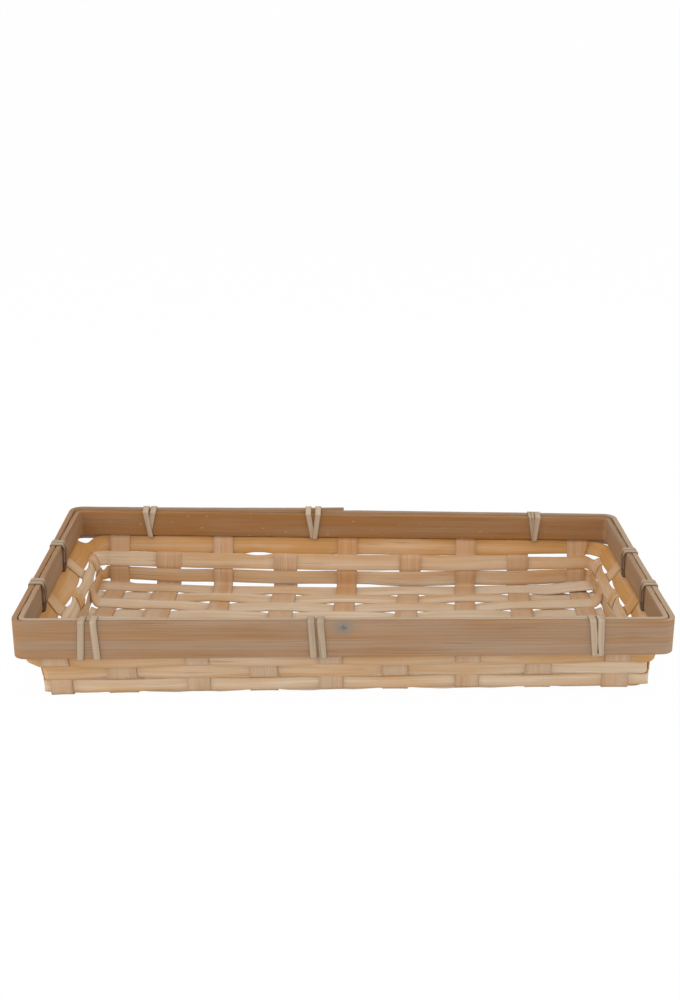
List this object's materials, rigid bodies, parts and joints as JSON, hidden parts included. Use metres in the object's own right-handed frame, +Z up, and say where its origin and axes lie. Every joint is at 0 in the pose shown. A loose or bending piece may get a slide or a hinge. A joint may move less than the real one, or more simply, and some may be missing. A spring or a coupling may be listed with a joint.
{
  "type": "woven berry basket",
  "caption": "Shallow rectangular tray woven from flat wood splints, with a rim of two bent wood bands bound by cane.",
  "frame": {"origin": "under the middle of the floor, on the surface that the basket stands on", "axes": "+X along the basket's length to the right, +Y from the front wall to the back wall, +Z up"},
  "size_m": [0.3014, 0.1516, 0.0418],
  "materials": {
    "band_wood": "bare, planed, fine straight grain, slightly greyed",
    "stake_wood": "bare split splint, warm tan, grain along its length",
    "weaver_wood": "bare split splint, pale pinkish tan, grain along its length",
    "cane": "smooth pale grey-beige cane"
  },
  "bodies": {
    "root": {"outer_rim_band": "band_wood", "inner_rim_band": "band_wood", "crosswise_splint_1": "stake_wood", "crosswise_splint_2": "stake_wood", "crosswise_splint_3": "stake_wood", "crosswise_splint_4": "stake_wood", "crosswise_splint_5": "stake_wood", "crosswise_splint_6": "stake_wood", "crosswise_splint_7": "stake_wood", "crosswise_splint_8": "stake_wood", "crosswise_splint_9": "stake_wood", "lengthwise_splint_01": "weaver_wood", "lengthwise_splint_02": "weaver_wood", "lengthwise_splint_03": "weaver_wood", "lengthwise_splint_04": "weaver_wood", "lengthwise_splint_05": "weaver_wood", "lengthwise_splint_06": "weaver_wood", "lengthwise_splint_07": "weaver_wood", "lengthwise_splint_08": "weaver_wood", "lengthwise_splint_09": "weaver_wood", "lengthwise_splint_10": "weaver_wood", "lengthwise_splint_11": "weaver_wood", "wall_weaver_bottom": "weaver_wood", "wall_weaver_middle": "weaver_wood", "wall_weaver_top": "weaver_wood", "lashing_front_left": "cane", "lashing_front_middle": "cane", "lashing_front_right": "cane", "lashing_back_left": "cane", "lashing_back_middle": "cane", "lashing_back_right": "cane", "lashing_left_front": "cane", "lashing_left_back": "cane", "lashing_right_front": "cane", "lashing_right_back": "cane"}
  },
  "joints": []
}
